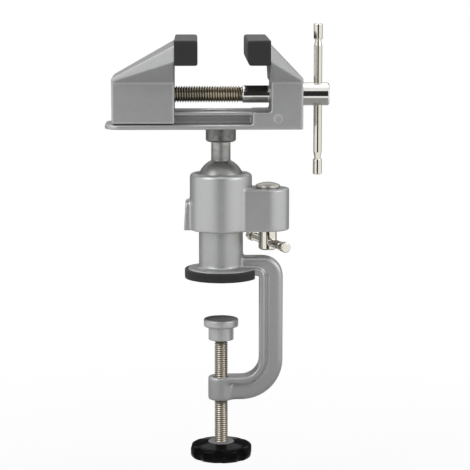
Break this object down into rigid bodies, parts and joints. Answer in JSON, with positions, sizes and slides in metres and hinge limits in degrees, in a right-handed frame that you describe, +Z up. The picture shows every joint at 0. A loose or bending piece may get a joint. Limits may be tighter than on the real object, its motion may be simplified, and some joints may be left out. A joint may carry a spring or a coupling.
{
  "type": "swivel precision vise",
  "caption": "Small bench vise whose jaw head turns and tilts on a locking ball socket, held on a bench edge by a screw clamp.",
  "frame": {"origin": "centre of the bench pad's underside, on the post's axis", "axes": "+Z up along the post and the clamp screw; +X along the jaw screw, towards its turning bar; +Y along the jaws' width, away from the picture's camera"},
  "size_m": [0.1293, 0.079, 0.2559],
  "materials": {
    "casting": "satin",
    "stud_metal": "satin",
    "rubber": "matte",
    "bright_metal": "polished",
    "fastener_steel": "satin",
    "thread_steel": "satin",
    "knob_plastic": "gloss",
    "insert_plastic": "satin"
  },
  "bodies": {
    "frame": {"clamp_frame": "casting", "bench_pad": "rubber"},
    "socket": {"socket_housing": "casting", "retainer_screw": "fastener_steel", "lock_bushing": "thread_steel"},
    "seat": {"ball_seat": "stud_metal"},
    "stud": {"ball_stud": "stud_metal", "head_bolt": "fastener_steel", "head_washer": "fastener_steel"},
    "head": {"vise_bed": "casting", "fixed_jaw_cover": "rubber", "screw_keeper": "fastener_steel"},
    "moving_jaw": {"moving_jaw": "casting", "moving_jaw_cover": "rubber", "jaw_nut": "thread_steel"},
    "jaw_screw": {"jaw_screw": "bright_metal"},
    "jaw_bar": {"jaw_bar": "bright_metal", "jaw_bar_ends": "bright_metal"},
    "lock_screw": {"lock_screw": "bright_metal"},
    "lock_bar": {"lock_bar": "bright_metal", "lock_bar_ends": "bright_metal"},
    "lock_cap": {"lock_cap": "bright_metal"},
    "lock_shoe": {"lock_shoe": "thread_steel"},
    "clamp_slide": {"pad_retainer": "fastener_steel"},
    "clamp_screw": {"clamp_screw": "thread_steel", "knob_insert": "insert_plastic", "clamp_knob": "knob_plastic"},
    "pad": {"clamp_pad": "casting"}
  },
  "joints": [
    {"name": "socket_swivel", "type": "hinge", "parent": "frame", "child": "socket", "pos_m": [0, 0, 0.0345], "axis": [0, 0, 1], "continuous": true},
    {"name": "ball_swivel", "type": "hinge", "parent": "socket", "child": "seat", "pos_m": [0, 0, 0.0567], "axis": [0, 0, 1], "continuous": true},
    {"name": "ball_tilt", "type": "hinge", "parent": "seat", "child": "stud", "pos_m": [0, 0, 0.0567], "axis": [0, 1, 0], "range_deg": [-45, 45]},
    {"name": "head_swivel", "type": "hinge", "parent": "stud", "child": "head", "pos_m": [0, 0, 0.0883], "axis": [0, 0, 1], "continuous": true},
    {"name": "jaw_slide", "type": "slide", "parent": "head", "child": "moving_jaw", "axis": [1, 0, 0], "range_m": [-0.016, 0.0273]},
    {"name": "jaw_screw_turn", "type": "hinge", "parent": "head", "child": "jaw_screw", "pos_m": [0.0372, 0, 0.1074], "axis": [-1, 0, 0], "range_deg": [-3842, 6554]},
    {"name": "jaw_bar_slide", "type": "slide", "parent": "jaw_screw", "child": "jaw_bar", "axis": [0, 0, 1], "range_m": [-0.0248, 0.0309]},
    {"name": "lock_screw_turn", "type": "hinge", "parent": "socket", "child": "lock_screw", "pos_m": [0.0273, 0, 0.0213], "axis": [0, 0, 1], "range_deg": [-70, 0]},
    {"name": "lock_bar_slide", "type": "slide", "parent": "lock_screw", "child": "lock_bar", "axis": [0.3584, -0.9336, 0], "range_m": [-0.0155, 0.0155]},
    {"name": "lock_cap_travel", "type": "slide", "parent": "socket", "child": "lock_cap", "axis": [0, 0, 1], "range_m": [0, 0.000243]},
    {"name": "lock_shoe_travel", "type": "slide", "parent": "socket", "child": "lock_shoe", "axis": [1, 0, 0], "range_m": [0, 0.0003]},
    {"name": "clamp_travel", "type": "slide", "parent": "frame", "child": "clamp_slide", "axis": [0, 0, 1], "range_m": [-0.021, 0.0231]},
    {"name": "clamp_screw_turn", "type": "hinge", "parent": "clamp_slide", "child": "clamp_screw", "pos_m": [0, 0, -0.032], "axis": [0, 0, 1], "range_deg": [-6050, 6655]},
    {"name": "pad_tilt", "type": "hinge", "parent": "clamp_slide", "child": "pad", "pos_m": [0, 0, -0.032], "axis": [0, 1, 0], "range_deg": [-5, 5]}
  ],
  "couplings": [
    {"joint": "jaw_screw_turn", "follows": "jaw_slide", "rad_per_m": 4188.8},
    {"joint": "clamp_screw_turn", "follows": "clamp_travel", "rad_per_m": 5026.5},
    {"joint": "lock_screw_turn", "follows": "lock_cap_travel", "rad_per_m": -5026.5},
    {"joint": "lock_shoe_travel", "follows": "lock_cap_travel", "ratio": 0.80425}
  ]
}
